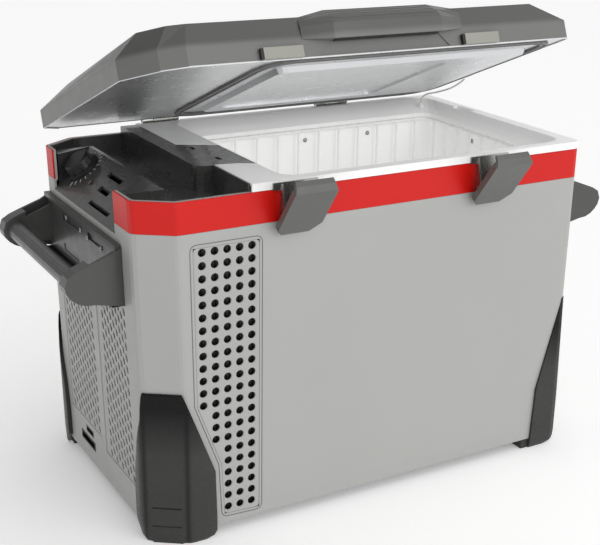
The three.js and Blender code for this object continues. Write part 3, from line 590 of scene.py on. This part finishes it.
def front_vent_seam():
    """The fine rounded seam line pressed into the case round the front grille."""
    corners = [(-255.5, 384), (-252.3, 181.8), (-221, 98), (-217, 23.5), (-161.5, 21),
               (-162.5, 384)]
    line = [(x, -HALF_DEPTH, z) for x, z in rounded_outline(corners, 9, 6)]
    mesh = tubes("front_vent_seam", [line], 0.55, IN_CASE, closed=True)
    new_piece("front_vent_seam", mesh, SEAM, "case")


def side_vents(name, node, y, bottom):
    """A grille in the compressor end: leaning ovals in staggered columns."""
    top, gap, margin = 302, 0.3, 8
    column_pitch, row_pitch = 9.6, 15
    near, far, low, high = y[0] + gap, y[1] - gap, bottom + gap, top - gap
    corners = [(near, low), (far, low), (far, high), (near, high)]
    holes = []
    for column in range(int((y[1] - y[0] - margin) // column_pitch)):
        middle = y[0] + margin + column * column_pitch
        z = bottom + margin + (column % 2) * row_pitch / 2
        while z < top - 7:
            holes.append(ring(middle, z, 3.5, 12, 1.6, 0.35))
            z += row_pitch
    mesh = perforated(name, rounded_outline(corners, 3), holes, 0.35,
                      lambda a, b, out: IN_CASE @ Vector((left_wall(b) + 1.6 - out, a, b)))
    piece = new_piece(name, mesh, PAINT, "case")
    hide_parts(node)


def dust_screen(name, across, z, place):
    """A dark pleated screen behind a grille."""
    pleat, reach, thickness = 3, 0.9, 0.8
    work = bmesh.new()
    rows = []
    for i, a in enumerate(spread(*across, int((across[1] - across[0]) / pleat) + 1)):
        out = reach if i % 2 else -reach
        rows.append([work.verts.new(place(a, h, out + thick))
                     for thick in (0, thickness) for h in z])
    for first, second in zip(rows, rows[1:]):
        for k, m in ((0, 1), (1, 3), (3, 2), (2, 0)):
            work.faces.new((first[k], first[m], second[m], second[k]))
    for end in (rows[0], rows[-1]):
        work.faces.new((end[0], end[1], end[3], end[2]))
    new_piece(name, as_mesh(name, work), BLACKER, "case", smooth=False)


front_vents()
front_vent_seam()
side_vents("side_vent_plate_front", "side_vent_grille_front", (-116, -12.5), 58)
side_vents("side_vent_plate_back", "side_vent_grille_back", (3, 117), 73)
dust_screen("front_dust_screen", (-256, -162), (22, 384),
            lambda a, h, out: IN_CASE @ Vector((a, -170 - out, h)))
dust_screen("side_dust_screen", (-122, 122), (72, 306),
            lambda a, h, out: IN_CASE @ Vector((-304 + END_TAPER * (306 - h) - out, a, h)))

# ------------------------------------------------------------------ basket

TUB_ENDS = (-112, 289)
TUB_HALF = 132
TUB_CORNER = 20
RAIL_INSET = 8.5
RAIL_HEIGHT = 424
BASKET_FLOOR = 68
WIRE_STEP = 3.6  # how far the crosswise floor wires lie below the lengthwise ones


def basket_sides(inset):
    """The basket's low and high x and y at a distance inside the tub's walls."""
    x0, x1 = TUB_ENDS[0] + inset, TUB_ENDS[1] - inset
    return x0, x1, inset - TUB_HALF, TUB_HALF - inset


def basket_ring(inset, z):
    """The basket's rounded plan at one height."""
    x0, x1, y0, y1 = basket_sides(inset)
    radius = TUB_CORNER - inset + 4
    points = []
    for cx, cy, start in ((x1 - radius, y0 + radius, -90), (x1 - radius, y1 - radius, 0),
                          (x0 + radius, y1 - radius, 90), (x0 + radius, y0 + radius, 180)):
        for i in range(7):
            angle = math.radians(start + 15 * i)
            points.append((cx + radius * math.cos(angle), cy + radius * math.sin(angle), z))
    return points


def bent_wire(low, high, floor):
    """One wire's (along, height) points: down a side, under the floor and up the far side."""
    bend, cut = 9, 2.6
    half = [(low, RAIL_HEIGHT), (low, floor + bend), (low + cut, floor + cut), (low + bend, floor)]
    return half + [(low + high - a, z) for a, z in reversed(half)]


def wire_basket():
    """A lattice of coated wires: uprights that bend under the floor, level wires and a rail."""
    x0, x1, y0, y1 = basket_sides(RAIL_INSET)
    uprights = [[(x, a, z) for a, z in bent_wire(y0, y1, BASKET_FLOOR)]
                for x in spread(x0 + 22, x1 - 22, 11)]
    uprights += [[(a, y, z) for a, z in bent_wire(x0, x1, BASKET_FLOOR + WIRE_STEP)]
                 for y in spread(y0 + 20, y1 - 20, 8)]
    levels = [basket_ring(RAIL_INSET + 3.4, z) for z in range(84, 361, 46)]
    rail = [basket_ring(RAIL_INSET, RAIL_HEIGHT)]
    works = []
    for mesh in (tubes("wires", uprights, 2.0, IN_CASE),
                 tubes("levels", levels, 1.5, IN_CASE, closed=True),
                 tubes("rail", rail, 2.6, IN_CASE, 3, closed=True)):
        work = bmesh.new()
        work.from_mesh(mesh)
        works.append(work)
        bpy.data.meshes.remove(mesh)
    piece = new_piece("basket_wires", joined("basket_wires", works), WIRE, "case")
    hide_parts("wire_basket")


wire_basket()

# ------------------------------------------------------------------ feet


def foot_grooves(side):
    """Two long grooves across a left foot's cut corner, and the trim of its bottom corner."""
    facet = IN_CASE @ Matrix.Translation((-289, side * 169.5, 0))
    facet = facet @ Matrix.Rotation(side * CUT_CORNER, 4, "Z")

    def facing(low, high, half, z):
        """A box from low to high, outwards from the cut corner."""
        return slab((-half, half), (low, high) if side > 0 else (-high, -low), z, facet)

    grooves = [facing(-5.4, 12, 18, (z - 1.1, z + 1.1)) for z in (23.5, 49)]
    return grooves + [facing(-4.9, 40, 60, (-5, 13.5))]


for where, side in (("front", -1), ("back", 1)):
    carved(f"foot_{where}_left_shape", f"foot_{where}_left", foot_grooves(side),
           FOOT, "case", 2.2)

# ------------------------------------------------------------------ the liner's screws

for index, (x, z) in enumerate(((70, 408), (178, 408))):
    screw(f"liner_screw_back_{index + 1}", (x, 131.8, z), (0, -1, 0), 3.4)
screw("liner_screw_right", (288.8, 20, 408), (-1, 0, 0), 3.4)

# ------------------------------------------------------------------ controls

PANEL_NORMAL = Vector((-43, 0, 56)).normalized()
PANEL_UP = Vector((56, 0, 43)).normalized()
PANEL_TURN = Matrix((PANEL_UP, Vector((0, 1, 0)), PANEL_NORMAL)).transposed().to_4x4()
KNOB_CENTRE = Vector((-279.3, 104, 412.1))
ON_PANEL = IN_CASE @ Matrix.Translation(KNOB_CENTRE) @ PANEL_TURN


def panel_marks():
    """Pale marks round the knob, growing with the setting."""
    first_angle, sweep, steps = 35, 190, 12
    start, half_width = 26.2, 0.5
    works = []
    for i in range(steps + 1):
        turn = Matrix.Rotation(math.radians(first_angle - sweep * i / steps), 4, "Z")
        works.append(slab((start, start + 3 + 0.3 * i), (-half_width, half_width), (0.05, 0.25),
                          ON_PANEL @ turn))
    new_piece("panel_marks", joined("panel_marks", works), MARK, "case",
              smooth=False)


panel_marks()

# ------------------------------------------------------------------ the lid's fittings

GRIP_ENDS = (-51, 99)
BROW = [Vector(p) for p in ((0, -360, 37), (0, -352, 47), (0, -336, 57), (0, -300, 58))]
LID_EDGE = [(-288, -3.4), (-312, -18), (-304, -299), (-268, -336), (-238, -347), (306, -347),
            (312, -341), (309, -45), (280, -3.4)]
LID_MIDDLE = Vector((0, -175))


def grip_ribs():
    """Fine ribs along the grip's brow, following its curved front."""
    lines = []
    for k in range(6):
        reach = 2 + 7.5 * k
        for a, b in zip(BROW, BROW[1:]):
            size = (b - a).length
            if reach <= size:
                point = a + (b - a) * (reach / size)
                break
            reach -= size
        lines.append([(x, point.y, point.z - 0.8) for x in GRIP_ENDS])
    new_piece("grip_ribs", tubes("grip_ribs", lines, 1.4, IN_LID), LID, "lid")


def lid_edge():
    """The silver panel's pale edge, just inside the foot of the skirt and open at the hinges."""
    line = []
    for corner in LID_EDGE:
        inwards = (LID_MIDDLE - Vector(corner)).normalized()
        x, y = Vector(corner) + 1.2 * inwards
        line.append((x, y, 0.2))
    mesh = tubes("lid_edge_line", [line], 1.1, IN_LID)
    new_piece("lid_edge_line", mesh, EDGE, "lid")


grip_ribs()
# painted shadow: a thin dark block in the hollow under the grip's brow
shadow_block("grip_shadow", (-50, 98), (-354.5, -347.4), (17.2, 18.3), IN_LID, "lid")
lid_edge()
# painted shadow: a dark block along the left side of each strike
for side, x in (("left", -120), ("right", 164)):
    shadow_block(f"strike_shadow_{side}", (x - 29.6, x - 26.2), (-352, -347.5), (1.4, 14), IN_LID,
                "lid")

# ------------------------------------------------------------------ the left handle

# painted shadow: a narrow dark strip along the foot of the handle's back plate
shadow_block("handle_shadow_left", (-327, -312.4), (-112.5, 140.5), (299.2, 301.8), IN_CASE, "case",
            softness=0.8, steps=2)
for index, (y, z) in enumerate(((64, 361), (11, 359), (-13, 356.5), (-60, 356))):
    screw(f"handle_bolt_{index + 1}", (left_wall(z) - 4.7, y, z), (-1, 0, 0), 3.6)

# ------------------------------------------------------------------ the stay cord

STAY = [(281, 142, 443.3), (281, 141, 450), (283, 132, 458), (289, 112, 464.5), (298, 92, 473),
        (303.3, 78, 482.5), (303.8, 66, 490.7)]


def smooth_line(points, count):
    """Points along a smooth line through the given ones."""
    dense = []
    ends = [2 * Vector(points[0]) - Vector(points[1])] + [Vector(p) for p in points]
    ends.append(2 * Vector(points[-1]) - Vector(points[-2]))
    for i in range(1, len(ends) - 2):
        a, b, c, d = ends[i - 1:i + 3]
        for k in range(count):
            t = k / count
            dense.append(0.5 * (2 * b + (c - a) * t + (2 * a - 5 * b + 4 * c - d) * t * t
                                + (3 * b - a - 3 * c + d) * t ** 3))
    dense.append(ends[-2])
    return dense


def stay_cord():
    """The cord that holds the lid open, from the liner's rim to the lid's side."""
    line = smooth_line(STAY, 4)
    mesh = tubes("stay_cord", [[p.to_tuple() for p in line]], 1.2, IN_CASE, 3)
    piece = add_object("stay_cord", mesh)
    mesh.materials.append(CORD.material)
    mesh.shade_smooth()
    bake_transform(piece)
    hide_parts("lid_stay_cord")


stay_cord()

# ------------------------------------------------------------------ stage, light and camera

FLOOR_REACH = 80  # metres
BRIGHTER_SIDE = (0.42, -0.3, -0.06)  # where the studio is brighter, and by how much
STUDIO_LEVEL = 0.8
CAMERA_PLACE = (-777.04, -1340.14, 805.35)  # millimetres
CAMERA_YAW, CAMERA_PITCH, CAMERA_ROLL = (math.radians(a) for a in (29.782, 19.550, 0.9676))


def stage_floor():
    mesh = bpy.data.meshes.new("studio_floor")
    corners = [(-1, -1), (1, -1), (1, 1), (-1, 1)]
    mesh.from_pydata([(x * FLOOR_REACH, y * FLOOR_REACH, 0) for x, y in corners], [],
                     [(0, 1, 2, 3)])
    floor = add_object("studio_floor", mesh)
    n = Nodes("pale_floor")
    n.set(Base_Color=(0.95, 0.95, 0.95, 1), Emission_Color=(1, 1, 1, 1), Emission_Strength=0.22,
          Roughness=0.9, Specular_IOR_Level=0.1)
    mesh.materials.append(n.material)


def area_light(name, place, target, size, power):
    data = bpy.data.lights.new(name, "AREA")
    data.shape = "RECTANGLE"
    data.size, data.size_y = size
    data.energy = power
    light = add_object(name, data)
    light.location = place
    light.rotation_mode = "QUATERNION"
    light.rotation_quaternion = (Vector(target) - Vector(place)).to_track_quat("-Z", "Y")
    light.visible_camera = False


def studio():
    """White surroundings, brighter on one side, and one large light in front."""
    world = bpy.data.worlds.new("studio")
    world.use_nodes = True
    tree = world.node_tree
    back = tree.nodes["Background"]
    back.inputs["Color"].default_value = (1, 1, 1, 1)
    toward = tree.nodes.new("ShaderNodeVectorMath")
    toward.operation = "DOT_PRODUCT"
    toward.inputs[1].default_value = BRIGHTER_SIDE
    tree.links.new(tree.nodes.new("ShaderNodeTexCoord").outputs["Generated"], toward.inputs[0])
    level = tree.nodes.new("ShaderNodeMath")
    level.operation = "ADD"
    level.inputs[1].default_value = STUDIO_LEVEL
    tree.links.new(toward.outputs["Value"], level.inputs[0])
    tree.links.new(level.outputs["Value"], back.inputs["Strength"])
    bpy.context.scene.world = world
    bpy.context.scene.view_settings.view_transform = "Standard"
    area_light("key", (0.7, -2.5, 1.4), (0.05, 0, 0.35), (1.6, 0.9), 10)


def photo_camera():
    """The camera that stands where the photo's camera stood."""
    level = math.cos(CAMERA_PITCH)
    ahead = Vector((math.sin(CAMERA_YAW) * level, math.cos(CAMERA_YAW) * level,
                    -math.sin(CAMERA_PITCH)))
    right = Vector((math.cos(CAMERA_YAW), -math.sin(CAMERA_YAW), 0))
    up = right.cross(ahead)
    rolled_right = right * math.cos(CAMERA_ROLL) + up * math.sin(CAMERA_ROLL)
    rolled_up = up * math.cos(CAMERA_ROLL) - right * math.sin(CAMERA_ROLL)
    data = bpy.data.cameras.new("camera")
    data.sensor_width = 36
    data.lens = 71.07
    camera = add_object("camera", data)
    columns = Matrix((rolled_right, rolled_up, -ahead)).transposed().to_4x4()
    place = (Vector(CAMERA_PLACE) + SHIFT) * MILLIMETRE
    camera.matrix_world = Matrix.Translation(place) @ columns
    bpy.context.scene.camera = camera


stage_floor()
studio()
photo_camera()
